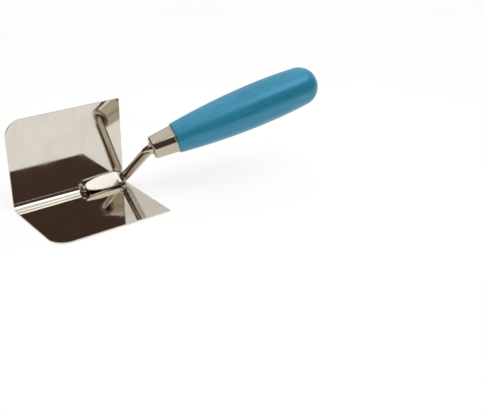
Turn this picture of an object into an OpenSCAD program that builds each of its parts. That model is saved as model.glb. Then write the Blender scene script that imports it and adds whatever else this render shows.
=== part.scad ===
// Inside corner trowel: a folded steel blade, a bent shank welded into its fold,
// a drawn ferrule and a turned wooden handle.
// The tool lies on one leaf of its blade.  +X runs from the front edge of the
// blade towards the handle, +Z is up, and the origin is where the two outer
// faces would meet in a sharp corner, at the middle of the blade's length.
// The shank, ferrule and handle are drawn upright over the fold, and
// over_fold() leans them into the plane that halves the corner.

/* [Blade] */
// Length of the blade along the corner
blade_l = 80; // [65:1:120]
// Width of each leaf, measured from the sharp outer corner
leaf_w = 60; // [45:1:90]
// Thickness of the sheet
sheet_t = 1; // [0.6:0.1:1.6]
// Inside radius of the fold
fold_r = 5; // [4:0.5:7]
// Radius of the two free corners at the front edge
front_corner_r = 11; // [3:1:18]
// Radius of the two free corners at the rear edge
rear_corner_r = 0.8; // [0.4:0.2:6]

/* [Shank] */
// Diameter of the rod that the shank is bent from
rod_d = 6.5; // [5:0.5:7]
// Length of the flattened foot in front of the neck
foot_l = 30.3; // [24:0.1:38]
// Widest part of the foot
foot_w = 10.6; // [10.2:0.1:13]
// Width of the foot at its round nose
nose_w = 6.4; // [5:0.2:8]
// Width that the foot's outline still has at the neck
foot_heel_w = 9.6; // [7.5:0.1:10]
// Distance from the nose to the widest part of the foot
foot_swell_x = 18; // [14:1:22]
// Height of the foot's edge over the blade where the foot is widest
foot_edge_t = 1.5; // [1:0.1:2.4]
// Distance of the neck in front of the blade's rear edge
neck_inset = 1; // [0:0.5:6]
// Height of the neck, from the foot's centre line to the handle's
neck_h = 41.6; // [30:0.2:60]
// Backward lean of the neck from upright
neck_lean = 3.2; // [0:0.2:10]
// Bend radius at the heel, on the rod's centre line
heel_r = 5; // [4:0.5:7]
// Length over which the rod tapers into the foot
heel_taper_l = 12; // [8:0.5:16]
// Bend radius below the ferrule, on the rod's centre line
elbow_r = 8; // [6:0.5:10]
// Length of the tang inside the handle
tang_l = 62; // [35:1:75]
// Length of the tang's tapered point
tang_point_l = 9; // [4:1:14]
// Diameter of the tang
tang_d = 6.2; // [4.8:0.1:6.8]
// Diameter of the tang at its blunt tip
tang_tip_d = 2.4; // [1.5:0.1:4]

/* [Welds] */
// Diameter of the bead at the foot's nose
front_bead_d = 4.8; // [3.5:0.1:6]
// Height of that bead's centre over the floor of the fold
front_bead_z = 1.3; // [0.8:0.1:3]
// Diameter of the bead under the heel
rear_bead_d = 4.4; // [3.4:0.1:4.8]
// Height of that bead's centre over the floor of the fold
rear_bead_z = 1.2; // [0.8:0.1:2]

/* [Ferrule] */
// Length of the ferrule
ferrule_l = 16.6; // [12:0.1:22]
// Outside diameter of the ferrule at its closed end
ferrule_small_d = 15; // [13.6:0.2:17]
// Outside diameter of the ferrule at its rim
ferrule_large_d = 18.4; // [17.2:0.2:19.6]
// Wall of the ferrule
ferrule_t = 0.8; // [0.5:0.1:1.2]
// Radius of the ferrule's rounded shoulder
ferrule_shoulder_r = 1.6; // [1.2:0.1:2.4]
// Width of the raised rim
rim_w = 1.1; // [0.6:0.1:1.6]
// Height of the rim over the rest of the ferrule
rim_proud = 0.25; // [0.1:0.05:0.4]
// Distance from the neck's top to the ferrule
ferrule_gap = 1.7; // [1.4:0.1:6]

/* [Handle] */
// Angle of the handle over the fold
handle_angle = 24; // [10:1:35]
// Length of the handle behind the ferrule
handle_l = 103.8; // [95:0.2:140]
// Diameter of the handle at its front face
handle_front_d = 20; // [19.8:0.2:23]
// Largest diameter of the handle
handle_max_d = 28.4; // [27:0.1:35]
// Distance from the front face to the largest diameter
handle_max_x = 63; // [55:1:72]
// Radius of the handle's domed butt
butt_r = 13; // [11:0.1:13.2]
// Radius of the handle's front edge
handle_edge_r = 0.8; // [0.4:0.1:1]

/* [Fits] */
// Gap between the rod and the edge of the ferrule's hole
ferrule_hole_gap = 0.7; // [0.4:0.1:1.2]
// Gap round the tang in its bore
tang_gap = 0.05; // [0.02:0.01:0.2]
// Gap between the front of the spigot and what is in front of it
spigot_end_gap = 0.6; // [0.2:0.1:1.5]

/* [Hidden] */
$fn = 96;
// Steps round the foot's nose and along each of its swelling arcs
nose_steps = 6;
foot_steps = 6;
// Steps along each swelling arc of the handle, and round its butt
swell_steps = 12;
butt_steps = 20;
// Overshoot of a cut past the face that it opens
eps = 0.5;
// Half of the corner's angle
half_corner = 45;

// Fold: its inner and outer arcs share one centre
fold_outer_r = fold_r + sheet_t;
inner_corner_z = sheet_t / sin(half_corner);
fold_floor_z = fold_outer_r / sin(half_corner) - fold_r;

// Shank: heights over the fold, in the plane that halves the corner
rod_r = rod_d / 2;
foot_z = fold_floor_z + rod_r;
foot_half_w = foot_w / 2;
foot_top_z = inner_corner_z + foot_half_w + foot_edge_t;
neck_x = blade_l / 2 - neck_inset;
nose_x = neck_x - foot_l;
nose_r = nose_w / 2;
swell_x = nose_x + foot_swell_x;
neck_top_x = neck_x + neck_h * tan(neck_lean);
neck_top_z = foot_z + neck_h;
heel_turn = 90 - neck_lean;
heel_run = heel_r * tan(heel_turn / 2);
heel_x = neck_x - heel_run;
rod_step = 0.15;
// The rod's straight stretch is drawn this much slimmer than its bends, and
// reaches this far into them
straight_step = 0.05;
straight_lap = 0.3;
ridge_tip_r = rod_r / 4;
// The heel's cut starts this far in front of the bend, and is this much steeper
// than the line from the bend's start to the neck
heel_cut_lead = 0.8;
heel_cut_steeper = 4;
heel_cut_angle = atan((neck_x - heel_x) / (foot_top_z - fold_floor_z)) - heel_cut_steeper;
elbow_turn = heel_turn - handle_angle;
elbow_run = elbow_r * tan(elbow_turn / 2);
neck_len = neck_h / cos(neck_lean) - heel_run - elbow_run;

// Foot outline: each side is two arcs that meet at the widest part
front_swell_run = foot_swell_x - nose_r;
foot_front_r = arc_inside(front_swell_run, foot_half_w, nose_r);
foot_tangent_a = acos(front_swell_run / (foot_front_r - nose_r));
foot_tangent_x = nose_x + nose_r - nose_r * cos(foot_tangent_a);
foot_rear_r = arc_through(neck_x - swell_x, foot_half_w - foot_heel_w / 2);

// Ferrule and handle: distances along the handle's axis from the neck's top
handle_x = ferrule_gap + ferrule_l;
elbow_left = max(0, elbow_run - ferrule_gap);
elbow_drop = elbow_r - sqrt(pow(elbow_r, 2) - pow(elbow_left, 2));
ferrule_hole_r = rod_r + elbow_drop + ferrule_hole_gap;
ferrule_small_r = ferrule_small_d / 2;
ferrule_large_r = ferrule_large_d / 2;
cone_slope = (ferrule_large_r - ferrule_small_r) / ferrule_l;
cone_angle = atan(cone_slope);
shoulder_x = ferrule_small_r + ferrule_shoulder_r * (cone_slope - 1 / cos(cone_angle));
spigot_l = handle_x - max(elbow_run, ferrule_gap + ferrule_t) - spigot_end_gap;
spigot_r = ferrule_large_r - ferrule_t;
bore_d = tang_d + 2 * tang_gap;

// Handle outline: two swelling arcs that meet at the largest diameter, and a ball
handle_max_r = handle_max_d / 2;
handle_front_r = handle_front_d / 2;
front_drop = handle_max_r - handle_front_r;
handle_front_arc_r = arc_through(handle_max_x, front_drop);
butt_x = handle_l - butt_r;
rear_run = butt_x - handle_max_x;
handle_rear_arc_r = arc_inside(rear_run, handle_max_r, butt_r);
butt_tangent_x = butt_x + butt_r * rear_run / (handle_rear_arc_r - butt_r);
edge_run = handle_max_x - handle_edge_r;
edge_reach = handle_front_arc_r - handle_edge_r;
edge_centre_r = handle_max_r - handle_front_arc_r + sqrt(pow(edge_reach, 2) - pow(edge_run, 2));
edge_tangent_x = handle_edge_r * (1 - edge_run / edge_reach);

// Radius of an arc that is level at height high, and that touches from outside a
// circle of radius low whose centre is run further along and on the axis
function arc_inside(run, high, low) = pow(run, 2) / (2 * (high - low)) + (high + low) / 2;

// Radius of an arc that is level at one end and drops by drop over run
function arc_through(run, drop) = (pow(run, 2) / drop + drop) / 2;

// Leans what is drawn upright over the fold into the plane that halves the corner
module over_fold() {
    rotate([half_corner, 0, 0]) children();
}

// Places what is drawn along +Z on the handle's axis, x away from the neck's top
module on_handle_axis(x) {
    over_fold()
        translate([neck_top_x, 0, neck_top_z])
            rotate([0, 90 - handle_angle, 0])
                translate([0, 0, x])
                    children();
}

// Pulls a section drawn in Y and Z along X
module along_x(x0, length) {
    translate([x0, 0, 0])
        rotate([90, 0, 90])
            linear_extrude(height = length)
                children();
}

// What a corner of radius r leaves of the square that it rounds, drawn at the
// corner with the material towards -X and +Y
module outside_arc(r) {
    difference() {
        translate([-r, 0]) square(r);
        translate([-r, r]) circle(r = r);
    }
}

// Section of the space between the leaves
module between_leaves(reach) {
    difference() {
        translate([-reach, sheet_t]) square(reach - sheet_t);
        translate([-sheet_t, sheet_t]) outside_arc(fold_r);
    }
}

// Section of all that lies on the other side of the inner faces, near the fold
module under_leaves() {
    difference() {
        translate([-leaf_w / 2, -leaf_w / 2]) square(leaf_w);
        translate([-leaf_w, sheet_t]) square([leaf_w - sheet_t, leaf_w]);
    }
    translate([-sheet_t, sheet_t]) outside_arc(fold_r);
}

// Section of the folded sheet
module fold_section() {
    difference() {
        translate([-leaf_w, 0]) square(leaf_w);
        outside_arc(fold_outer_r);
        between_leaves(leaf_w + sheet_t);
    }
}

// Cuts both free corners of the leaf that lies flat
module flat_leaf_cuts() {
    for (corner = [[-1, front_corner_r], [1, rear_corner_r]])
        translate([corner[0] * blade_l / 2, -leaf_w, -eps])
            mirror([corner[0] < 0 ? 1 : 0, 0, 0])
                linear_extrude(height = sheet_t + 2 * eps)
                    outside_arc(corner[1]);
}

module blade() {
    color("#c8cbcc")
        difference() {
            along_x(-blade_l / 2, blade_l) fold_section();
            flat_leaf_cuts();
            // the standing leaf is the flat one turned over the corner
            mirror([0, 1, 1]) flat_leaf_cuts();
        }
}

// One side of the foot's outline, from the tip of its nose to past the heel's cut
function foot_side() = concat(
    [for (i = [0:nose_steps]) let (a = 180 - foot_tangent_a * i / nose_steps)
        [nose_x + nose_r + nose_r * cos(a), nose_r * sin(a)]],
    foot_arc(foot_front_r, foot_tangent_x, swell_x), foot_arc(foot_rear_r, swell_x, neck_x),
    [[neck_x + rod_r, foot_heel_w / 2]]);

// Points along one swelling arc of the foot, without its two ends
function foot_arc(r, x0, x1) = [for (i = [1:foot_steps])
    let (x = x0 + (x1 - x0) * (i - 0.5) / foot_steps)
    [x, foot_half_w - r + sqrt(pow(r, 2) - pow(x - swell_x, 2))]];

// The foot, flat on top, shaped to the fold underneath and cut away behind the heel
module foot() {
    side = foot_side();
    difference() {
        over_fold()
            linear_extrude(height = foot_top_z)
                polygon(concat(side, [for (i = [len(side) - 1:-1:1]) [side[i][0], -side[i][1]]]));
        // what is under the inner faces of the blade
        along_x(nose_x - rod_d, foot_l + 2 * rod_d) under_leaves();
        over_fold()
            translate([heel_x - heel_cut_lead, -foot_w, fold_floor_z])
                rotate([0, heel_cut_angle, 0])
                    translate([0, 0, -foot_w])
                        cube([foot_w, 2 * foot_w, 3 * foot_w]);
    }
}

// A bend of the rod in the upright plane, turning up from start degrees over +X
module bend(r, start, turn) {
    rotate([90, 0, 0])
        rotate([0, 0, start])
            rotate_extrude(angle = turn)
                translate([r, 0]) circle(r = rod_r);
}

// The rod's ridge that sinks into the foot, from just inside the heel's bend
module heel_ridge() {
    translate([heel_x + rod_step, 0, foot_z])
        rotate([0, -90, 0])
            cylinder(r1 = rod_r - rod_step, r2 = ridge_tip_r, h = heel_taper_l);
}

// Places what is drawn upright at the lower end of the neck's straight stretch
module at_neck() {
    translate([neck_x, 0, foot_z])
        rotate([0, neck_lean, 0])
            translate([0, 0, heel_run])
                children();
}

// The bend of the rod from the foot up into the neck
module heel_bend() {
    at_neck() translate([-heel_r, 0, 0]) bend(heel_r, -heel_turn, heel_turn);
}

// The rod from the foot up to the handle's axis: heel, straight neck and elbow
module neck() {
    heel_bend();
    at_neck() {
        translate([0, 0, -straight_lap])
            cylinder(r = rod_r - straight_step, h = neck_len + 2 * straight_lap);
        translate([elbow_r, 0, neck_len]) bend(elbow_r, 180 - elbow_turn, elbow_turn);
    }
}

module shank() {
    tang_x = elbow_run - rod_step;
    tip_x = handle_x + tang_l - tang_x;
    color("#b8ac98") {
        foot();
        over_fold() {
            heel_ridge();
            neck();
        }
        on_handle_axis(tang_x)
            rotate_extrude()
                polygon([[0, 0], [tang_d / 2, 0], [tang_d / 2, tip_x - tang_point_l],
                    [tang_tip_d / 2, tip_x], [0, tip_x]]);
    }
}

// A ball of weld between the leaves, centred x along the fold and z over it
module bead(d, x, z) {
    intersection() {
        over_fold() translate([x, 0, z]) sphere(d = d);
        along_x(x - d, 2 * d) between_leaves(leaf_w);
    }
}

module front_weld() {
    color("#c4bcae")
        difference() {
            bead(front_bead_d, nose_x, fold_floor_z + front_bead_z);
            over_fold() translate([nose_x + nose_r, 0, 0]) cylinder(r = nose_r, h = foot_top_z);
        }
}

module rear_weld() {
    color("#c4bcae")
        difference() {
            intersection() {
                over_fold()
                    translate([neck_x, 0, fold_floor_z + rear_bead_z])
                        sphere(d = rear_bead_d);
                along_x(heel_x, blade_l / 2 - heel_x) between_leaves(leaf_w);
            }
            foot();
            over_fold() heel_bend();
        }
}

// Half section of the ferrule's outside, with the radius along X
module ferrule_outside() {
    difference() {
        polygon([[0, 0], [ferrule_small_r, 0], [ferrule_large_r, ferrule_l], [0, ferrule_l]]);
        difference() {
            translate([shoulder_x, -eps])
                square([ferrule_large_r, eps + ferrule_shoulder_r * (1 - sin(cone_angle))]);
            translate([shoulder_x, ferrule_shoulder_r]) circle(r = ferrule_shoulder_r);
        }
    }
    translate([spigot_r, ferrule_l - rim_w]) square([ferrule_t + rim_proud, rim_w]);
}

module ferrule() {
    floor_r = ferrule_small_r + cone_slope * ferrule_t - ferrule_t;
    color("#b8ac98")
        on_handle_axis(ferrule_gap)
            rotate_extrude()
                difference() {
                    ferrule_outside();
                    polygon([[0, ferrule_t], [floor_r, ferrule_t],
                        [spigot_r, ferrule_l], [spigot_r, ferrule_l + eps], [0, ferrule_l + eps]]);
                    translate([0, -eps]) square([ferrule_hole_r, ferrule_t + 2 * eps]);
                }
}

// Points along a swelling arc of the handle from x0 to x1, each [radius, x]
function swell(r, x0, x1) = [for (i = [0:swell_steps])
    let (x = x0 + (x1 - x0) * i / swell_steps)
    [handle_max_r - r + sqrt(pow(r, 2) - pow(x - handle_max_x, 2)), x]];

// Points round the ball of the butt, from where the swelling arc touches it
function butt_points(start) = [for (i = [1:butt_steps])
    let (a = start + (90 - start) * i / butt_steps)
    [butt_r * cos(a), butt_x + butt_r * sin(a)]];

// Half section of the handle with its spigot, and with the radius along X
module handle_section() {
    difference() {
        polygon(concat([[0, -spigot_l], [spigot_r - cone_slope * spigot_l, -spigot_l], [spigot_r, 0]],
            swell(handle_front_arc_r, 0, handle_max_x - handle_max_x / swell_steps),
            swell(handle_rear_arc_r, handle_max_x, butt_tangent_x),
            butt_points(asin((butt_tangent_x - butt_x) / butt_r))));
        difference() {
            translate([edge_centre_r, -eps]) square([handle_max_r, edge_tangent_x + eps]);
            translate([edge_centre_r, handle_edge_r]) circle(r = handle_edge_r);
        }
    }
}

module handle() {
    color("#3a8bb2")
        on_handle_axis(handle_x)
            difference() {
                rotate_extrude() handle_section();
                translate([0, 0, -spigot_l - eps]) cylinder(d = bore_d, h = spigot_l + eps + tang_l);
            }
}

blade();
shank();
front_weld();
rear_weld();
ferrule();
handle();
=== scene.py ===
"""Inside corner trowel: the looks of its blade, shank, welds, ferrule and handle.

The tool lies on one leaf.  +X runs from the front edge of the blade towards the
handle, +Z is up, and the origin is the sharp outer corner at mid length.
"""
import math

import bmesh
import bpy
from mathutils import Matrix, Vector


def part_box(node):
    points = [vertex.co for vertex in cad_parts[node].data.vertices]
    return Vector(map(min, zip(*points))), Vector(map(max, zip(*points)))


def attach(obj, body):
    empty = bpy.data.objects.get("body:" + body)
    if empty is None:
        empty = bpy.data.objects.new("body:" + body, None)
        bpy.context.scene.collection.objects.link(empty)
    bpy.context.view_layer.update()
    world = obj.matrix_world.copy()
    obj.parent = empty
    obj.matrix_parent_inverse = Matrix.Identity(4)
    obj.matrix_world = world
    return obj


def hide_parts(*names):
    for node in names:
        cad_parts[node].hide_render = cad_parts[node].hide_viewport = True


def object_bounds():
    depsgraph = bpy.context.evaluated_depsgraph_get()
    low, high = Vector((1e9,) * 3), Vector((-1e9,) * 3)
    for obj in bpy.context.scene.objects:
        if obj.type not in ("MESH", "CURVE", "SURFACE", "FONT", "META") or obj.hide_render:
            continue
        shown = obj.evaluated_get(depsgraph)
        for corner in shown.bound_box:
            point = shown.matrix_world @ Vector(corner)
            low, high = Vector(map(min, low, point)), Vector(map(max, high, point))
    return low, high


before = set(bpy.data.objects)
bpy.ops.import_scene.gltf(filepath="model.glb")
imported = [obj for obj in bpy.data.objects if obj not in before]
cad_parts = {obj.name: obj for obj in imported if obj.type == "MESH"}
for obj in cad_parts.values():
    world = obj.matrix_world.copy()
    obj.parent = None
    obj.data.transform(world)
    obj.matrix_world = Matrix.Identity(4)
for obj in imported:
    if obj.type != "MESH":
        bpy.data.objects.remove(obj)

bl_info = {
    "name": "Inside Corner Trowel",
    "version": (1, 0, 0),
    "blender": (4, 5, 0),
    "location": "3D View > Sidebar > Trowel",
    "description": "Builds an inside corner trowel piece by piece around its packed frame",
    "category": "Add Mesh",
}

MM = 0.001
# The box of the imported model, taken before anything is added to it
CAD_LOW, CAD_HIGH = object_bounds()
BLADE_LOW, BLADE_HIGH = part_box("blade")
# Half of the corner: the shank and handle lean this far from the flat leaf's upright
LEAN = Matrix.Rotation(math.radians(45), 4, "X")
DIAGONAL = math.sqrt(2)
# Points closer than this are one point
MERGE = 0.004 * MM
# Edges that turn by more than this are shaded as corners
SHARP = math.radians(32)
# Width of the camera's sensor
SENSOR_MM = 36.0

# Steps along each curve of the blade, shank, ferrule and handle
FOLD_STEPS = 32
FRONT_CORNER_STEPS, REAR_CORNER_STEPS = 16, 5
RING_STEPS = 72
NOSE_STEPS, FOOT_STEPS = 14, 48
HEEL_STEPS, NECK_STEPS, ELBOW_STEPS, TANG_STEPS = 18, 6, 16, 3
TURN_STEPS = 96
HOLE_STEPS, SHOULDER_STEPS, RIM_STEPS = 5, 12, 8
HANDLE_EDGE_STEPS, HANDLE_FRONT_STEPS, HANDLE_REAR_STEPS, BUTT_STEPS = 6, 30, 14, 20

# Turns from the top of the foot's section, in degrees: the end of its flat top, the
# middle of its rounded edge, both ends of its upright side, the end of its undercut
TOP_END, ROUND_MIDDLE, SIDE_START, SIDE_END, UNDERCUT_END = 64, 72, 80, 100, 108
TURN_SLACK = 1e-6
# Share of an edge radius that the middle of a quarter round lies in from the corner
ROUND_IN = 0.3
# Share of the foot's edge height that its rounded edge and upright side take up
SIDE_SHARE = 0.95
# The foot's top drops this far over this length at the tip of its nose
NOSE_DROP, NOSE_DROP_L = 0.5 * MM, 0.6 * MM
# The foot's first ring stands this far behind the tip, and no ring is narrower
FIRST_RING_X, LEAST_HALF_W = 0.03 * MM, 0.2 * MM
# The foot stays this far off the blade
FOOT_CLEAR = 0.01 * MM

# The room, as parts of a direction of length one from the object.  Each pair is
# where a soft edge starts and ends.  The unlit room lies on the viewer's side:
UNLIT_SIDE = (0.10, -0.12)
UNLIT_TOP = (0.69, 0.66)
# The broad lamp starts over the unlit room, and a dark seam runs behind its rear
# edge.  The edge faces along LAMP_EDGE, and the next three are distances along it:
LAMP_BOTTOM = (0.66, 0.69)
LAMP_EDGE = (0.43, -0.86, -0.29)
LAMP_START = (0.01, 0.03)
SEAM_START, SEAM_END = (-0.060, -0.040), (0.04, 0.02)
SEAM_DEPTH = 0.95
# The far wall turns into the ceiling, and its left side is darker up to a height
CEILING_START = (0.42, 0.60)
LEFT_SIDE, LEFT_TOP = (-0.15, -0.45), (0.75, 0.60)
LEFT_DEPTH = 0.85


# ---------------------------------------------------------------- sizes and colours

def length(name, description, default):
    """A size in metres, shown in the scene's own unit."""
    return bpy.props.FloatProperty(name=name, description=description, default=default, min=0.0,
                                   precision=5, unit="LENGTH")


def angle(name, description, degrees):
    """An angle, shown in degrees."""
    return bpy.props.FloatProperty(name=name, description=description,
                                   default=math.radians(degrees), unit="ROTATION")


def share(name, description, default):
    """A share from 0 to 1."""
    return bpy.props.FloatProperty(name=name, description=description, default=default, min=0.0,
                                   max=1.0, subtype="FACTOR")


def strength(name, description, default):
    """The strength of a light."""
    return bpy.props.FloatProperty(name=name, description=description, default=default, min=0.0)


def colour(name, description, default):
    """A linear colour."""
    return bpy.props.FloatVectorProperty(name=name, description=description, default=default,
                                         size=3, min=0.0, max=1.0, subtype="COLOR")


class BladeSizes(bpy.types.PropertyGroup):
    length: length("Length", "Length of the blade along the corner", BLADE_HIGH.x - BLADE_LOW.x)
    leaf: length("Leaf", "Width of each leaf from the sharp outer corner", BLADE_HIGH.z)
    sheet: length("Sheet", "Thickness of the sheet", 1 * MM)
    fold_r: length("Fold radius", "Inside radius of the fold", 5 * MM)
    front_r: length("Front corners", "Radius of the corners at the front edge", 11 * MM)
    rear_r: length("Rear corners", "Radius of the corners at the rear edge", 0.8 * MM)
    edge: length("Broken edge", "Width of the broken edge all round the sheet", 0.12 * MM)


class ShankSizes(bpy.types.PropertyGroup):
    rod_d: length("Rod", "Diameter of the rod", 6.5 * MM)
    inset: length("Inset", "Distance of the neck in front of the blade's rear edge", 1 * MM)
    foot_l: length("Foot", "Length of the foot in front of the neck", 30.3 * MM)
    foot_w: length("Foot width", "Widest part of the foot", 10.6 * MM)
    nose_w: length("Nose width", "Width of the foot at its round nose", 6.4 * MM)
    heel_w: length("Heel width", "Width of the foot's outline at the neck", 9.6 * MM)
    swell_x: length("Swell", "Distance from the nose to the widest part", 18 * MM)
    edge_t: length("Foot edge", "Height of the foot's edge over the blade", 1.5 * MM)
    edge_r: length("Foot edge radius", "Radius of the plate's upper edge", 0.35 * MM)
    undercut: length("Undercut", "How far the plate's edge stands out over its underside", 0.5 * MM)
    foot_gap: length("Foot gap", "Gap between the foot's flank and the blade", 0.30 * MM)
    blend_l: length("Blend", "Length in front of the heel where the plate turns into rod", 1.5 * MM)
    blend_turn: angle("Blend turn", "Turn of the heel by which it is all rod", 48)
    neck_h: length("Neck", "Height of the neck over the foot's centre line", 41.6 * MM)
    lean: angle("Lean", "Backward lean of the neck", 3.2)
    heel_r: length("Heel radius", "Radius of the heel's bend", 5 * MM)
    elbow_r: length("Elbow radius", "Radius of the bend below the ferrule", 8 * MM)
    tang_l: length("Tang shown", "Length of the tang that is built inside the ferrule", 12 * MM)


class FerruleSizes(bpy.types.PropertyGroup):
    gap: length("Gap", "Distance from the neck's top to the ferrule", 1.7 * MM)
    length: length("Length", "Length of the ferrule", 16.6 * MM)
    small_d: length("Closed end", "Outside diameter at the closed end", 15 * MM)
    large_d: length("Rim end", "Outside diameter at the rim", 18.4 * MM)
    wall: length("Wall", "Wall of the ferrule", 0.8 * MM)
    shoulder_r: length("Shoulder", "Radius of the rounded shoulder", 1.6 * MM)
    hole_d: length("Hole", "Diameter of the hole that the rod passes through", 9 * MM)
    hole_r: length("Hole edge", "Radius of the hole's drawn edge", 0.35 * MM)
    rim_w: length("Rim width", "Width of the raised rim", 1.1 * MM)
    rim_proud: length("Rim height", "Height of the rim over the cup", 0.25 * MM)


class HandleSizes(bpy.types.PropertyGroup):
    angle: angle("Angle", "Angle of the handle over the fold", 24)
    length: length("Length", "Length of the handle behind the ferrule", 103.8 * MM)
    front_d: length("Front", "Diameter at the front face", 20 * MM)
    max_d: length("Swell", "Largest diameter", 28.4 * MM)
    max_x: length("Swell place", "Distance from the front face to the largest diameter", 63 * MM)
    butt_r: length("Butt", "Radius of the domed butt", 13 * MM)
    edge_r: length("Front edge", "Radius of the front edge", 0.8 * MM)
    spigot_d: length("Spigot", "Diameter of the spigot in the ferrule", 16 * MM)
    spigot_l: length("Spigot length", "Length of the spigot in the ferrule", 11 * MM)


class Finishes(bpy.types.PropertyGroup):
    steel: colour("Steel", "Polished steel of the blade", (0.70, 0.65, 0.575))
    nickel: colour("Nickel", "Nickel plate of the shank and ferrule", (0.52, 0.46, 0.375))
    weld: colour("Weld", "Weld beads", (0.50, 0.43, 0.34))
    blue: colour("Blue", "Lacquer on its lit side", (0.030, 0.292, 0.447))
    deep_blue: colour("Deep blue", "Lacquer in the grain", (0.021, 0.240, 0.391))
    pearl: share("Pearl", "How metallic the lacquer is", 0.24)
    wear: share("Wear", "How far edges are worn bright", 0.5)


class Studio(bpy.types.PropertyGroup):
    camera_place: bpy.props.FloatVectorProperty(
        name="Camera place", description="Where the camera stands", size=3,
        default=(-0.2081, -0.4432, 0.2271), subtype="TRANSLATION", unit="LENGTH")
    camera_turn: bpy.props.FloatVectorProperty(
        name="Camera turn", description="How the camera is turned", size=3,
        default=(math.radians(63.90), math.radians(-0.78), math.radians(-38.28)), subtype="EULER")
    lens: bpy.props.FloatProperty(name="Lens", description="Focal length in millimetres",
                                  default=58.87, min=10.0)
    table: length("Table", "Half the width of the pale table", 3.0)
    table_front: length("Table front", "Distance of the table's front edge from the corner", 0.27)
    table_dim: colour("Table dim", "Darker patches of the table", (0.25, 0.25, 0.25))
    table_pale: colour("Table pale", "Paler patches of the table", (0.27, 0.27, 0.27))
    table_light: colour("Table light", "Colour that the table glows in", (1.0, 0.995, 0.985))
    table_glow: strength("Table glow", "Strength of the table's own light", 0.74)
    ceiling: strength("Ceiling", "Strength of the white ceiling", 1.0)
    lamp: strength("Lamp", "Strength of the broad lamp", 2.2)
    lamp_tint: colour("Lamp tint", "Cool colour of the broad lamp", (0.88, 0.93, 1.0))
    soft_lamp: bpy.props.FloatProperty(name="Soft lamp", description="Power of the soft lamp",
                                       default=3.0, min=0.0, unit="POWER")
    soft_lamp_place: bpy.props.FloatVectorProperty(
        name="Soft lamp place", description="Where the soft lamp hangs", size=3,
        default=(0.1, -0.5, 0.9), subtype="TRANSLATION", unit="LENGTH")
    soft_lamp_l: length("Soft lamp length", "Length of the soft lamp", 0.9)
    soft_lamp_w: length("Soft lamp width", "Width of the soft lamp", 0.5)
    dark: colour("Dark room", "What the polished faces show of the unlit room",
                 (0.085, 0.055, 0.045))
    wall: colour("Far wall", "Pale wall behind the object", (0.76, 0.75, 0.74))


class TrowelSettings(bpy.types.PropertyGroup):
    blade: bpy.props.PointerProperty(name="Blade", description="Blade sizes", type=BladeSizes)
    shank: bpy.props.PointerProperty(name="Shank", description="Shank sizes", type=ShankSizes)
    ferrule: bpy.props.PointerProperty(name="Ferrule", description="Ferrule sizes",
                                       type=FerruleSizes)
    handle: bpy.props.PointerProperty(name="Handle", description="Handle sizes", type=HandleSizes)
    finishes: bpy.props.PointerProperty(name="Finishes", description="Colours", type=Finishes)
    studio: bpy.props.PointerProperty(name="Studio", description="Camera and room", type=Studio)


def settings():
    """The sizes, finishes and studio of the scene."""
    return bpy.context.scene.trowel


def opaque(tint):
    """A colour with its fourth part."""
    return tuple(tint) + (1,)


# ---------------------------------------------------------------- placing and meshes

def fold_floor():
    """Height of the inner face of the fold over the sharp corner."""
    blade = settings().blade
    return (blade.fold_r + blade.sheet) * DIAGONAL - blade.fold_r


def rod_height():
    """Height of the rod's centre line in the foot."""
    return fold_floor() + settings().shank.rod_d / 2


def neck_foot():
    """Where the neck's centre line would meet the foot's in a sharp corner."""
    return Vector((BLADE_HIGH.x - settings().shank.inset, 0, rod_height()))


def neck_top():
    """Where the neck's centre line would meet the handle's in a sharp corner."""
    shank = settings().shank
    return neck_foot() + Vector((shank.neck_h * math.tan(shank.lean), 0, shank.neck_h))


def on_handle_axis(x):
    """Places what is built along +Z on the handle's axis, x away from the neck's top."""
    turn = Matrix.Rotation(math.pi / 2 - settings().handle.angle, 4, "Y")
    return LEAN @ Matrix.Translation(neck_top()) @ turn @ Matrix.Translation((0, 0, x))


def handle_start():
    """Distance of the handle's front face from the neck's top."""
    ferrule = settings().ferrule
    return ferrule.gap + ferrule.length


def arc(centre, radius, start, end, steps):
    """Points of an arc in the plane of (radius, along), from start to end degrees."""
    turns = [math.radians(start + (end - start) * i / steps) for i in range(steps + 1)]
    return [(centre[0] + radius * math.cos(a), centre[1] + radius * math.sin(a)) for a in turns]


def turned(outline, steps, closed):
    """A shape turned about Z from an outline of (radius, along) points."""
    bm = bmesh.new()
    points = [bm.verts.new((radius, 0, along)) for radius, along in outline]
    ends = points[1:] + points[:1] if closed else points[1:]
    lines = [bm.edges.new(pair) for pair in zip(points, ends)]
    bmesh.ops.spin(bm, geom=points + lines, cent=(0, 0, 0), axis=(0, 0, 1), angle=math.tau,
                   steps=steps, use_merge=True)
    return bm


def clean(bm):
    """Joins doubles, points the faces outwards, and marks corners sharp."""
    bmesh.ops.remove_doubles(bm, verts=bm.verts, dist=MERGE)
    bmesh.ops.dissolve_degenerate(bm, edges=bm.edges, dist=MERGE)
    bmesh.ops.recalc_face_normals(bm, faces=bm.faces)
    for face in bm.faces:
        face.smooth = True
    for edge in bm.edges:
        edge.smooth = edge.calc_face_angle(0.0) < SHARP


def finish_piece(bm, name, node, material):
    """Makes the mesh an object that stands for its CAD node."""
    mesh = bpy.data.meshes.new(name)
    bm.to_mesh(mesh)
    bm.free()
    mesh.materials.append(material)
    piece = bpy.data.objects.new(name, mesh)
    bpy.context.scene.collection.objects.link(piece)
    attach(piece, "root")
    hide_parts(node)


# ---------------------------------------------------------------- material groups

def add(tree, kind, **inputs):
    """A node of a kind, with its named inputs set or linked."""
    made = tree.nodes.new(kind)
    for key, value in inputs.items():
        feed(tree, made, key.replace("_", " "), value)
    return made


def feed(tree, target, key, value):
    """Sets an input of a node, or links a socket to it."""
    socket = target.inputs[int(key) if key.isdigit() else key]
    if isinstance(value, bpy.types.NodeSocket):
        tree.links.new(value, socket)
    else:
        socket.default_value = value


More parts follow.
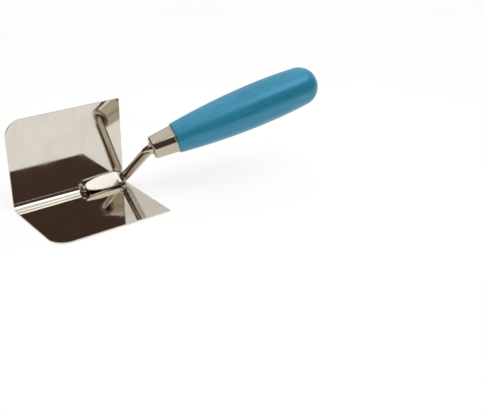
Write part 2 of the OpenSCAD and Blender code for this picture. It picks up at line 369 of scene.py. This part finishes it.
def maths(tree, operation, first, second):
    """A Math node's result."""
    made = tree.nodes.new("ShaderNodeMath")
    made.operation = operation
    feed(tree, made, "0", first)
    feed(tree, made, "1", second)
    return made.outputs[0]


def between(tree, value, low, high, most=1.0):
    """A value mapped smoothly from low..high to 0..most."""
    made = tree.nodes.new("ShaderNodeMapRange")
    made.interpolation_type = "SMOOTHSTEP"
    for key, number in (("Value", value), ("From Min", low), ("From Max", high),
                        ("To Max", most)):
        feed(tree, made, key, number)
    return made.outputs["Result"]


def mixed(tree, factor, first, second):
    """Two colours mixed."""
    made = tree.nodes.new("ShaderNodeMix")
    made.data_type = "RGBA"
    feed(tree, made, "0", factor)
    feed(tree, made, "6", first)
    feed(tree, made, "7", second)
    return made.outputs[2]


def stretched(tree, vector, scale):
    """A vector scaled along its axes."""
    made = tree.nodes.new("ShaderNodeMapping")
    feed(tree, made, "Vector", vector)
    made.inputs["Scale"].default_value = scale
    return made.outputs["Vector"]


def noise(tree, vector, scale, detail=3.0, roughness=0.55):
    """Noise on a vector."""
    made = add(tree, "ShaderNodeTexNoise", Vector=vector, Scale=scale, Detail=detail,
               Roughness=roughness)
    return made.outputs["Fac"]


def new_group(name, inputs, outputs):
    """An empty node group with its sockets; returns it with its two end nodes."""
    group = bpy.data.node_groups.new(name, "ShaderNodeTree")
    for label, kind, default in inputs:
        socket = group.interface.new_socket(label, in_out="INPUT", socket_type=kind)
        if default is not None:
            socket.default_value = default
    for label, kind in outputs:
        group.interface.new_socket(label, in_out="OUTPUT", socket_type=kind)
    return group, group.nodes.new("NodeGroupInput"), group.nodes.new("NodeGroupOutput")


def edge_wear_group():
    """Where an edge is rubbed: high on corners, broken up by a fine noise."""
    group, given, result = new_group(
        "Edge wear",
        [("Vector", "NodeSocketVector", None), ("Width", "NodeSocketFloat", 0.4 * MM),
         ("Amount", "NodeSocketFloat", 0.5)],
        [("Mask", "NodeSocketFloat")])
    rounded = group.nodes.new("ShaderNodeBevel")
    rounded.samples = 4
    feed(group, rounded, "Radius", given.outputs["Width"])
    geometry = group.nodes.new("ShaderNodeNewGeometry")
    dot = group.nodes.new("ShaderNodeVectorMath")
    dot.operation = "DOT_PRODUCT"
    feed(group, dot, "0", rounded.outputs["Normal"])
    feed(group, dot, "1", geometry.outputs["Normal"])
    # the two normals agree fully on a flat, and less the sharper the corner is
    corner = between(group, dot.outputs["Value"], 0.995, 0.90)
    patches = between(group, noise(group, given.outputs["Vector"], scale=900.0), 0.35, 0.6)
    worn = maths(group, "MULTIPLY", corner, patches)
    feed(group, result, "Mask", maths(group, "MULTIPLY", worn, given.outputs["Amount"]))
    return group


def smudge_group():
    """Soft, uneven patches left by hands and wiping."""
    group, given, result = new_group(
        "Smudges",
        [("Vector", "NodeSocketVector", None), ("Size", "NodeSocketFloat", 40.0),
         ("Clean", "NodeSocketFloat", 0.06), ("Smudged", "NodeSocketFloat", 0.12)],
        [("Roughness", "NodeSocketFloat"), ("Mask", "NodeSocketFloat")])
    finer, broad_share = 9.0, 0.75
    broad = noise(group, given.outputs["Vector"], given.outputs["Size"], detail=4.0)
    fine = noise(group, given.outputs["Vector"],
                 maths(group, "MULTIPLY", given.outputs["Size"], finer), detail=2.0)
    both = maths(group, "ADD", maths(group, "MULTIPLY", broad, broad_share),
                 maths(group, "MULTIPLY", fine, 1 - broad_share))
    mask = between(group, both, 0.42, 0.66)
    span = maths(group, "SUBTRACT", given.outputs["Smudged"], given.outputs["Clean"])
    feed(group, result, "Mask", mask)
    feed(group, result, "Roughness",
         maths(group, "ADD", given.outputs["Clean"], maths(group, "MULTIPLY", mask, span)))
    return group


def polish_group():
    """Fine lines left by polishing, drawn out along one axis, over a slow waviness."""
    group, given, result = new_group(
        "Polishing lines",
        [("Vector", "NodeSocketVector", None), ("Fineness", "NodeSocketFloat", 3000.0),
         ("Draw out", "NodeSocketFloat", 0.02), ("Waviness", "NodeSocketFloat", 0.5)],
        [("Height", "NodeSocketFloat")])
    axes = group.nodes.new("ShaderNodeCombineXYZ")
    feed(group, axes, "X", given.outputs["Draw out"])
    axes.inputs["Y"].default_value = 1.0
    axes.inputs["Z"].default_value = 1.0
    drawn = group.nodes.new("ShaderNodeVectorMath")
    drawn.operation = "MULTIPLY"
    feed(group, drawn, "0", given.outputs["Vector"])
    feed(group, drawn, "1", axes.outputs[0])
    lines = noise(group, drawn.outputs[0], given.outputs["Fineness"], detail=2.0)
    waves = noise(group, given.outputs["Vector"], scale=28.0, detail=1.0)
    feed(group, result, "Height",
         maths(group, "ADD", lines, maths(group, "MULTIPLY", waves, given.outputs["Waviness"])))
    return group


def group_named(name, build):
    """A node group, built the first time that it is asked for."""
    return bpy.data.node_groups.get(name) or build()


def placed(tree, name, build, **inputs):
    """A node group placed in a material with its own values."""
    made = tree.nodes.new("ShaderNodeGroup")
    made.node_tree = group_named(name, build)
    for key, value in inputs.items():
        feed(tree, made, key.replace("_", " "), value)
    return made


def new_material(name):
    """A material, its tree, its shader and a socket with the object's coordinates."""
    material = bpy.data.materials.new(name)
    material.use_nodes = True
    tree = material.node_tree
    shader = tree.nodes["Principled BSDF"]
    place = tree.nodes.new("ShaderNodeTexCoord")
    return material, tree, shader, place.outputs["Object"]


def bump(tree, shader, height, distance, strength):
    """Feeds a height to the shader's normal."""
    made = add(tree, "ShaderNodeBump", Height=height, Distance=distance, Strength=strength)
    feed(tree, shader, "Normal", made.outputs["Normal"])


def bare_metal(name, tint, clean_polish, smudged_polish, fineness, line_depth, waviness):
    """A polished or plated metal with smudges, polishing lines and rubbed edges."""
    duller, brighter = 0.94, 1.12
    material, tree, shader, place = new_material(name)
    smudges = placed(tree, "Smudges", smudge_group, Vector=place, Size=55.0,
                     Clean=clean_polish, Smudged=smudged_polish)
    wear = placed(tree, "Edge wear", edge_wear_group, Vector=place, Width=0.35 * MM,
                  Amount=settings().finishes.wear)
    lines = placed(tree, "Polishing lines", polish_group, Vector=place, Fineness=fineness,
                   Draw_out=0.03, Waviness=waviness)
    dull = opaque(part * duller for part in tint)
    bright = opaque(min(1.0, part * brighter) for part in tint)
    body = mixed(tree, smudges.outputs["Mask"], opaque(tint), dull)
    feed(tree, shader, "Base Color", mixed(tree, wear.outputs["Mask"], body, bright))
    feed(tree, shader, "Roughness", smudges.outputs["Roughness"])
    shader.inputs["Metallic"].default_value = 1.0
    bump(tree, shader, lines.outputs["Height"], distance=line_depth, strength=1.0)
    return material


def polished_steel():
    """The blade's mirror polish."""
    return bare_metal("polished steel", settings().finishes.steel, clean_polish=0.05,
                      smudged_polish=0.10, fineness=2600.0, line_depth=0.0016 * MM,
                      waviness=22.0)


def nickel_plate():
    """The softer shine of the plated shank and ferrule."""
    return bare_metal("nickel plate", settings().finishes.nickel, clean_polish=0.10,
                      smudged_polish=0.17, fineness=1800.0, line_depth=0.004 * MM,
                      waviness=12.0)


def weld_metal():
    """Cooled weld: duller than the plate, with ripples."""
    material, tree, shader, place = new_material("weld metal")
    smudges = placed(tree, "Smudges", smudge_group, Vector=place, Size=300.0,
                     Clean=0.16, Smudged=0.34)
    tint, burnt_share = settings().finishes.weld, 0.6
    burnt = opaque(part * burnt_share for part in tint)
    feed(tree, shader, "Base Color",
         mixed(tree, smudges.outputs["Mask"], opaque(tint), burnt))
    feed(tree, shader, "Roughness", smudges.outputs["Roughness"])
    shader.inputs["Metallic"].default_value = 1.0
    ripples = noise(tree, place, scale=900.0)
    bump(tree, shader, ripples, distance=0.10 * MM, strength=0.8)
    return material


def blue_lacquer():
    """Pearly blue lacquer over turned wood: fine flakes, and a grain along the handle."""
    finishes = settings().finishes
    material, tree, shader, place = new_material("blue lacquer")
    axis = on_handle_axis(handle_start())
    along = tree.nodes.new("ShaderNodeMapping")
    along.vector_type = "TEXTURE"
    along.inputs["Location"].default_value = axis.translation
    along.inputs["Rotation"].default_value = axis.to_euler()
    feed(tree, along, "Vector", place)
    drawn_out, fine_share = 0.07, 0.55
    grain_place = stretched(tree, along.outputs["Vector"], (1.0, 1.0, drawn_out))
    grain = noise(tree, grain_place, scale=900.0, detail=4.0, roughness=0.6)
    broad = noise(tree, grain_place, scale=160.0)
    flakes = noise(tree, place, scale=4200.0, detail=2.0)
    tone = maths(tree, "ADD", maths(tree, "MULTIPLY", grain, fine_share),
                 maths(tree, "MULTIPLY", broad, 1 - fine_share))
    smudges = placed(tree, "Smudges", smudge_group, Vector=place, Size=60.0,
                     Clean=0.36, Smudged=0.48)
    wear = placed(tree, "Edge wear", edge_wear_group, Vector=place, Width=0.5 * MM,
                  Amount=finishes.wear * 0.5)
    blue = mixed(tree, between(tree, tone, 0.40, 0.60), opaque(finishes.deep_blue),
                 opaque(finishes.blue))
    flake_gain, flake_white = 1.5, 0.05
    lit = opaque(min(1.0, part * flake_gain + flake_white) for part in finishes.blue)
    sparkle = mixed(tree, between(tree, flakes, 0.62, 0.78, most=0.45), blue, lit)
    feed(tree, shader, "Base Color", mixed(tree, wear.outputs["Mask"], sparkle, lit))
    feed(tree, shader, "Roughness", smudges.outputs["Roughness"])
    shader.inputs["Metallic"].default_value = finishes.pearl
    shader.inputs["Coat Weight"].default_value = 0.22
    shader.inputs["Coat Roughness"].default_value = 0.16
    flake_height = 0.5
    height = maths(tree, "ADD", grain, maths(tree, "MULTIPLY", flakes, flake_height))
    bump(tree, shader, height, distance=0.03 * MM, strength=0.6)
    return material


# ---------------------------------------------------------------- blade

def build_blade():
    """One flat leaf with its rounded corners and half of the fold, mirrored and thickened."""
    blade = settings().blade
    outer_r = blade.fold_r + blade.sheet
    flat_w = blade.leaf - outer_r
    bm = bmesh.new()
    bmesh.ops.create_grid(bm, x_segments=1, y_segments=1, size=0.5)
    bmesh.ops.scale(bm, vec=(blade.length, flat_w, 1), verts=bm.verts)
    bmesh.ops.translate(bm, vec=(0, -outer_r - flat_w / 2, 0), verts=bm.verts)
    for side, radius, steps in ((-1, blade.front_r, FRONT_CORNER_STEPS),
                                (1, blade.rear_r, REAR_CORNER_STEPS)):
        corner = min(bm.verts, key=lambda v: v.co.y - side * v.co.x)
        bmesh.ops.bevel(bm, geom=[corner], offset=radius, offset_type="OFFSET", segments=steps,
                        profile=0.5, affect="VERTICES", material=-1)
    # a narrow strip beside the fold keeps the leaf's shading flat
    strip = 0.5 * MM
    bmesh.ops.bisect_plane(bm, geom=bm.verts[:] + bm.edges[:] + bm.faces[:],
                           plane_co=(0, -outer_r - strip, 0), plane_no=(0, 1, 0))
    fold_edge = [e for e in bm.edges if all(v.co.y > -outer_r - MERGE for v in e.verts)]
    bmesh.ops.spin(bm, geom=fold_edge, cent=(0, -outer_r, outer_r), axis=(1, 0, 0),
                   angle=math.pi / 4, steps=FOLD_STEPS)
    bmesh.ops.transform(bm, matrix=LEAN.inverted(), verts=bm.verts)
    bmesh.ops.mirror(bm, geom=bm.verts[:] + bm.edges[:] + bm.faces[:], axis="Y",
                     merge_dist=MERGE)
    bmesh.ops.transform(bm, matrix=LEAN, verts=bm.verts)
    bmesh.ops.remove_doubles(bm, verts=bm.verts, dist=MERGE)
    bmesh.ops.recalc_face_normals(bm, faces=bm.faces)
    lowest = min(bm.faces, key=lambda f: f.calc_center_median().z)
    bmesh.ops.solidify(bm, geom=bm.faces[:],
                       thickness=math.copysign(blade.sheet, -lowest.normal.z))
    clean(bm)
    corners = [e for e in bm.edges if not e.smooth]
    bmesh.ops.bevel(bm, geom=corners, offset=blade.edge, offset_type="OFFSET", segments=3,
                    profile=0.5, affect="EDGES", material=-1)
    clean(bm)
    # only the two large flats on each side are shaded flat
    for face in bm.faces:
        face.smooth = face.calc_area() < blade.leaf * flat_w / 2
    return bm


# ---------------------------------------------------------------- shank

def foot_half_width(x):
    """Half the width of the foot's outline, x behind the tip of its nose."""
    shank = settings().shank
    nose_r, half_w = shank.nose_w / 2, shank.foot_w / 2
    run = shank.swell_x - nose_r
    front_r = run ** 2 / (2 * (half_w - nose_r)) + (half_w + nose_r) / 2
    rear_run, drop = shank.foot_l - shank.swell_x, (shank.foot_w - shank.heel_w) / 2
    rear_r = (rear_run ** 2 / drop + drop) / 2
    if x < nose_r:
        return math.sqrt(max(0.0, nose_r ** 2 - (x - nose_r) ** 2))
    swell_r = front_r if x < shank.swell_x else rear_r
    return half_w - swell_r + math.sqrt(swell_r ** 2 - (x - shank.swell_x) ** 2)


def over_leaves(y):
    """Height of the blade's inner face over the sharp corner, y to the side."""
    blade = settings().blade
    centre = (blade.fold_r + blade.sheet) * DIAGONAL
    side = min(abs(y), blade.fold_r / DIAGONAL)
    return centre - math.sqrt(blade.fold_r ** 2 - side ** 2) + abs(y) - side


def ease(share_done):
    """A smooth step from 0 to 1."""
    t = min(1.0, max(0.0, share_done))
    return t * t * (3 - 2 * t)


def plate_stops(half_w, top):
    """Half of the plate's section as (turn from the top, side, height over the sharp corner)."""
    shank = settings().shank
    edge, side = shank.edge_r, SIDE_SHARE * shank.edge_t
    under_w = half_w - min(shank.undercut, half_w / 2)
    return [(0, 0, top), (TOP_END, half_w - edge, top),
            (ROUND_MIDDLE, half_w - ROUND_IN * edge, top - ROUND_IN * edge),
            (SIDE_START, half_w, top - edge), (SIDE_END, half_w, top - side),
            (UNDERCUT_END, under_w, top - side - shank.undercut), (180, 0, 0)]


def plate_point(turn, stops):
    """The point of the plate's half section at a turn from its top."""
    for (start, side, up), (end, next_side, next_up) in zip(stops, stops[1:]):
        if turn <= end + TURN_SLACK:
            done = (turn - start) / (end - start)
            return side + (next_side - side) * done, up + (next_up - up) * done


def foot_ring(x, roundness, centre, tilt):
    """Places a ring of the foot x behind the nose; roundness 0 is the plate and 1 the rod."""
    shank, blade = settings().shank, settings().blade
    rod_r, rod_z = shank.rod_d / 2, rod_height()
    nose = math.sqrt(1 - (1 - min(1.0, x / NOSE_DROP_L)) ** 2)
    top = (shank.edge_t + shank.foot_w / 2 + blade.sheet * DIAGONAL) - (1 - nose) * NOSE_DROP
    stops = plate_stops(max(foot_half_width(x), LEAST_HALF_W), top)

    def shape(ring):
        for vert in ring:
            turn = math.atan2(abs(vert.co.x), vert.co.y)
            side, up = plate_point(math.degrees(turn), stops)
            up = max(up, over_leaves(side) + shank.foot_gap * side / rod_r) - rod_z
            side += (rod_r * math.sin(turn) - side) * roundness
            up += (rod_r * math.cos(turn) - up) * roundness
            side = math.copysign(side, vert.co.x)
            vert.co = centre + Vector((-math.sin(tilt) * up, side, math.cos(tilt) * up))
            vert.co.z = max(vert.co.z, over_leaves(side) + FOOT_CLEAR)
    return shape


def add_ring(bm, last, shape):
    """Adds a ring that shape places, and bridges it to the last one."""
    ring = bmesh.ops.create_circle(bm, segments=RING_STEPS, radius=1.0)["verts"]
    edges = list({e for v in ring for e in v.link_edges})
    shape(ring)
    if last:
        bmesh.ops.bridge_loops(bm, edges=last + edges)
    return edges


def rod_ring(centre, tilt, radius):
    """Places a ring square to the rod's line; tilt is 0 along the foot and 90 upright."""
    def shape(ring):
        for vert in ring:
            side, up = vert.co.x * radius, vert.co.y * radius
            vert.co = centre + Vector((-math.sin(tilt) * up, side, math.cos(tilt) * up))
    return shape


def rod_stations():
    """Centres and tilts of the rod's rings from the heel up to inside the ferrule."""
    shank, handle = settings().shank, settings().handle
    upright = math.pi / 2 - shank.lean
    heel_run = shank.heel_r * math.tan(upright / 2)
    elbow_turn = upright - handle.angle
    elbow_run = shank.elbow_r * math.tan(elbow_turn / 2)
    neck = Vector((math.cos(upright), 0, math.sin(upright)))
    out = Vector((math.cos(handle.angle), 0, math.sin(handle.angle)))
    heel_centre = neck_foot() + Vector((-heel_run, 0, shank.heel_r))
    elbow_start = neck_top() - neck * elbow_run
    elbow_centre = elbow_start + Vector((math.sin(upright), 0, -math.cos(upright))) * shank.elbow_r
    stations = []
    for i in range(HEEL_STEPS + 1):
        a = upright * i / HEEL_STEPS
        stations.append((heel_centre + Vector((math.sin(a), 0, -math.cos(a))) * shank.heel_r, a))
    start = stations[-1][0]
    stations += [(start.lerp(elbow_start, i / NECK_STEPS), upright)
                 for i in range(1, NECK_STEPS)]
    for i in range(ELBOW_STEPS + 1):
        a = upright - elbow_turn * i / ELBOW_STEPS
        side = Vector((-math.sin(a), 0, math.cos(a)))
        stations.append((elbow_centre + side * shank.elbow_r, a))
    end = neck_top() + out * elbow_run
    stations += [(end + out * shank.tang_l * i / TANG_STEPS, handle.angle)
                 for i in range(1, TANG_STEPS + 1)]
    return stations


def build_shank():
    """The rod, drawn ring by ring from the flattened foot through its two bends."""
    shank = settings().shank
    bm = bmesh.new()
    heel_x = shank.foot_l - shank.heel_r * math.tan((math.pi / 2 - shank.lean) / 2)
    nose_x = neck_foot() - Vector((shank.foot_l, 0, 0))
    blend = shank.blend_l + shank.heel_r * shank.blend_turn
    nose_r = shank.nose_w / 2
    places = [FIRST_RING_X]
    places += [nose_r * (1 - math.cos(math.pi / 2 * i / NOSE_STEPS))
               for i in range(1, NOSE_STEPS)]
    places += [nose_r + (heel_x - nose_r) * i / FOOT_STEPS for i in range(FOOT_STEPS)]
    last = None
    for x in places:
        roundness = ease((x - heel_x + shank.blend_l) / blend)
        last = add_ring(bm, last, foot_ring(x, roundness, nose_x + Vector((x, 0, 0)), 0.0))
        if x == places[0]:
            bmesh.ops.contextual_create(bm, geom=last)
    for centre, tilt in rod_stations():
        x = heel_x + shank.heel_r * tilt
        if tilt < shank.blend_turn and centre.z < neck_top().z / 2:
            roundness = ease((x - heel_x + shank.blend_l) / blend)
            last = add_ring(bm, last, foot_ring(min(x, shank.foot_l), roundness, centre, tilt))
        else:
            last = add_ring(bm, last, rod_ring(centre, tilt, shank.rod_d / 2))
    bmesh.ops.contextual_create(bm, geom=last)
    bmesh.ops.transform(bm, matrix=LEAN, verts=bm.verts)
    clean(bm)
    return bm


# ---------------------------------------------------------------- ferrule and handle

def build_ferrule():
    """The drawn cup: hole with a rolled edge, rounded shoulder, cone and raised rim."""
    cup = settings().ferrule
    small, large, hole = cup.small_d / 2, cup.large_d / 2, cup.hole_d / 2
    slope = (large - small) / cup.length
    lean = math.degrees(math.atan(slope))
    shoulder = small + cup.shoulder_r * (slope - 1 / math.cos(math.radians(lean)))
    bead_r = cup.rim_w / 2
    bead_out = large + cup.rim_proud - bead_r
    inner = large - cup.wall
    bead_start, bead_end = -70, 80
    outline = arc((hole + cup.hole_r, cup.hole_r), cup.hole_r, 180, 270, HOLE_STEPS)
    outline += arc((shoulder, cup.shoulder_r), cup.shoulder_r, -90, -lean, SHOULDER_STEPS)
    outline += [(small + slope * (cup.length - cup.rim_w), cup.length - cup.rim_w)]
    outline += arc((bead_out, cup.length - bead_r), bead_r, bead_start, bead_end, RIM_STEPS)
    outline += [(inner, cup.length), (small + slope * cup.wall - cup.wall, cup.wall),
                (hole, cup.wall)]
    bm = turned(outline, TURN_STEPS, closed=True)
    bmesh.ops.transform(bm, matrix=on_handle_axis(cup.gap), verts=bm.verts)
    clean(bm)
    return bm


def handle_outline():
    """Half outline of the handle from the end of its spigot to the tip of its butt."""
    grip = settings().handle
    high, front = grip.max_d / 2, grip.front_d / 2
    drop = high - front
    front_r = (grip.max_x ** 2 / drop + drop) / 2
    butt_x = grip.length - grip.butt_r
    run = butt_x - grip.max_x
    rear_r = run ** 2 / (2 * (high - grip.butt_r)) + (high + grip.butt_r) / 2
    tangent_x = butt_x + grip.butt_r * run / (rear_r - grip.butt_r)
    edge_run, edge_reach = grip.max_x - grip.edge_r, front_r - grip.edge_r
    edge_centre = high - front_r + math.sqrt(edge_reach ** 2 - edge_run ** 2)
    edge_end = math.degrees(-math.asin(edge_run / edge_reach))

    def swell(radius, x):
        return high - radius + math.sqrt(radius ** 2 - (x - grip.max_x) ** 2), x

    first_x = grip.edge_r * (1 - edge_run / edge_reach)
    start = math.degrees(math.asin((tangent_x - butt_x) / grip.butt_r))
    spigot = grip.spigot_d / 2
    outline = [(0, -grip.spigot_l), (spigot, -grip.spigot_l), (spigot, 0)]
    outline += arc((edge_centre, grip.edge_r), grip.edge_r, -90, edge_end, HANDLE_EDGE_STEPS)
    outline += [swell(front_r, first_x + (grip.max_x - first_x) * i / HANDLE_FRONT_STEPS)
                for i in range(1, HANDLE_FRONT_STEPS + 1)]
    outline += [swell(rear_r, grip.max_x + (tangent_x - grip.max_x) * i / HANDLE_REAR_STEPS)
                for i in range(1, HANDLE_REAR_STEPS + 1)]
    outline += arc((0, butt_x), grip.butt_r, start, 90, BUTT_STEPS)[1:]
    return outline


def build_handle():
    """The turned wooden handle."""
    bm = turned(handle_outline(), TURN_STEPS, closed=False)
    bmesh.ops.transform(bm, matrix=on_handle_axis(handle_start()), verts=bm.verts)
    clean(bm)
    return bm


# ---------------------------------------------------------------- stage

def build_world():
    """Bright ceiling, pale wall and broad lamp, with an unlit room behind the viewer."""
    studio = settings().studio
    world = bpy.data.worlds.new("studio")
    bpy.context.scene.world = world
    world.use_nodes = True
    tree = world.node_tree
    place = tree.nodes.new("ShaderNodeTexCoord")
    split = tree.nodes.new("ShaderNodeSeparateXYZ")
    feed(tree, split, "Vector", place.outputs["Generated"])
    x, y, z = (split.outputs[i] for i in range(3))

    def both(first, second):
        return maths(tree, "MULTIPLY", first, second)

    along_x, along_y, along_z = map(both, (x, y, z), LAMP_EDGE)
    lean = maths(tree, "ADD", maths(tree, "ADD", along_x, along_y), along_z)
    unlit = both(between(tree, y, *UNLIT_SIDE), between(tree, z, *UNLIT_TOP))
    seam = both(between(tree, lean, *SEAM_START), between(tree, lean, *SEAM_END))
    lamp = both(between(tree, lean, *LAMP_START), between(tree, z, *LAMP_BOTTOM))
    left = both(between(tree, x, *LEFT_SIDE), between(tree, z, *LEFT_TOP))
    dark = opaque(studio.dark)
    room = mixed(tree, between(tree, z, *CEILING_START), opaque(studio.wall),
                 opaque((studio.ceiling,) * 3))
    room = mixed(tree, both(left, LEFT_DEPTH), room, dark)
    room = mixed(tree, lamp, room, opaque(studio.lamp * part for part in studio.lamp_tint))
    room = mixed(tree, both(seam, SEAM_DEPTH), room, dark)
    room = mixed(tree, unlit, room, dark)
    # the camera itself sees plain white behind the tool
    path = tree.nodes.new("ShaderNodeLightPath")
    feed(tree, tree.nodes["Background"], "Color",
         mixed(tree, path.outputs["Is Camera Ray"], room, (1, 1, 1, 1)))


def build_table():
    """The plain pale table, lit a little from within so that it stays even."""
    studio = settings().studio
    bm = bmesh.new()
    bmesh.ops.create_grid(bm, x_segments=1, y_segments=1, size=studio.table)
    under_tool = 0.02 * MM
    bmesh.ops.translate(
        bm, vec=(0, studio.table - studio.table_front, CAD_LOW.z - under_tool), verts=bm.verts)
    mesh = bpy.data.meshes.new("table")
    bm.to_mesh(mesh)
    bm.free()
    material, tree, shader, place = new_material("pale table")
    patches = between(tree, noise(tree, place, scale=6.0, detail=2.0), 0.3, 0.7)
    feed(tree, shader, "Base Color",
         mixed(tree, patches, opaque(studio.table_dim), opaque(studio.table_pale)))
    shader.inputs["Roughness"].default_value = 0.9
    shader.inputs["Specular IOR Level"].default_value = 0.1
    shader.inputs["Emission Color"].default_value = opaque(studio.table_light)
    shader.inputs["Emission Strength"].default_value = studio.table_glow
    mesh.materials.append(material)
    table = bpy.data.objects.new("table", mesh)
    bpy.context.scene.collection.objects.link(table)


def build_lamp():
    """One soft lamp over the handle side, unseen in the polished faces."""
    studio = settings().studio
    lamp = bpy.data.lights.new("soft lamp", "AREA")
    lamp.shape = "RECTANGLE"
    lamp.size, lamp.size_y = studio.soft_lamp_l, studio.soft_lamp_w
    lamp.energy = studio.soft_lamp
    holder = bpy.data.objects.new("soft lamp", lamp)
    holder.location = studio.soft_lamp_place
    holder.rotation_mode = "QUATERNION"
    holder.rotation_quaternion = (-studio.soft_lamp_place).to_track_quat("-Z", "Y")
    holder.visible_glossy = False
    bpy.context.scene.collection.objects.link(holder)


def build_camera():
    """The camera that looks down on the tool from its front."""
    studio = settings().studio
    data = bpy.data.cameras.new("camera")
    data.sensor_width = SENSOR_MM
    data.lens = studio.lens
    data.clip_start, data.clip_end = 0.01, 20.0
    camera = bpy.data.objects.new("camera", data)
    camera.location = studio.camera_place
    camera.rotation_euler = studio.camera_turn
    bpy.context.scene.collection.objects.link(camera)
    bpy.context.scene.camera = camera


# ---------------------------------------------------------------- operators

class TROWEL_OT_blade(bpy.types.Operator):
    """Build the folded steel blade"""
    bl_idname = "trowel.blade"
    bl_label = "Blade"

    def execute(self, context):
        finish_piece(build_blade(), "folded_blade", "blade", polished_steel())
        return {"FINISHED"}


class TROWEL_OT_shank(bpy.types.Operator):
    """Build the bent shank with its flattened foot"""
    bl_idname = "trowel.shank"
    bl_label = "Shank"

    def execute(self, context):
        finish_piece(build_shank(), "forged_shank", "shank", nickel_plate())
        return {"FINISHED"}


class TROWEL_OT_welds(bpy.types.Operator):
    """Give the two weld beads their finish"""
    bl_idname = "trowel.welds"
    bl_label = "Welds"

    def execute(self, context):
        material = weld_metal()
        for name in ("front_weld", "rear_weld"):
            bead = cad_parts[name]
            bead.data.materials.clear()
            bead.data.materials.append(material)
        return {"FINISHED"}


class TROWEL_OT_ferrule(bpy.types.Operator):
    """Build the drawn ferrule"""
    bl_idname = "trowel.ferrule"
    bl_label = "Ferrule"

    def execute(self, context):
        finish_piece(build_ferrule(), "drawn_ferrule", "ferrule",
                     bpy.data.materials.get("nickel plate") or nickel_plate())
        return {"FINISHED"}


class TROWEL_OT_handle(bpy.types.Operator):
    """Build the turned and lacquered handle"""
    bl_idname = "trowel.handle"
    bl_label = "Handle"

    def execute(self, context):
        finish_piece(build_handle(), "lacquered_handle", "handle",
                     blue_lacquer())
        return {"FINISHED"}


class TROWEL_OT_stage(bpy.types.Operator):
    """Set the table, the light and the camera"""
    bl_idname = "trowel.stage"
    bl_label = "Stage"

    def execute(self, context):
        context.scene.view_settings.view_transform = "Standard"
        build_world()
        build_table()
        build_lamp()
        build_camera()
        return {"FINISHED"}


class TROWEL_PT_panel(bpy.types.Panel):
    """Lists the trowel's pieces, sizes and colours"""
    bl_idname = "TROWEL_PT_panel"
    bl_label = "Inside Corner Trowel"
    bl_space_type = "VIEW_3D"
    bl_region_type = "UI"
    bl_category = "Trowel"

    def draw(self, context):
        for operator in OPERATORS:
            self.layout.operator(operator.bl_idname)
        for group in TrowelSettings.bl_rna.properties.keys():
            values = getattr(context.scene.trowel, group, None)
            if isinstance(values, bpy.types.PropertyGroup):
                box = self.layout.box()
                box.label(text=group.title())
                for name in values.bl_rna.properties.keys():
                    if name not in ("rna_type", "name"):
                        box.prop(values, name)


OPERATORS = (TROWEL_OT_blade, TROWEL_OT_shank, TROWEL_OT_welds, TROWEL_OT_ferrule,
             TROWEL_OT_handle, TROWEL_OT_stage)
CLASSES = (BladeSizes, ShankSizes, FerruleSizes, HandleSizes, Finishes, Studio,
           TrowelSettings) + OPERATORS + (TROWEL_PT_panel,)


def register():
    """Register the classes and give the scene its settings."""
    for cls in CLASSES:
        bpy.utils.register_class(cls)
    bpy.types.Scene.trowel = bpy.props.PointerProperty(type=TrowelSettings)


def unregister():
    """Undo register."""
    del bpy.types.Scene.trowel
    for cls in reversed(CLASSES):
        bpy.utils.unregister_class(cls)


def main():
    """Build every piece and the stage."""
    register()
    bpy.ops.trowel.blade()
    bpy.ops.trowel.shank()
    bpy.ops.trowel.welds()
    bpy.ops.trowel.ferrule()
    bpy.ops.trowel.handle()
    bpy.ops.trowel.stage()


if __name__ == "__main__":
    main()
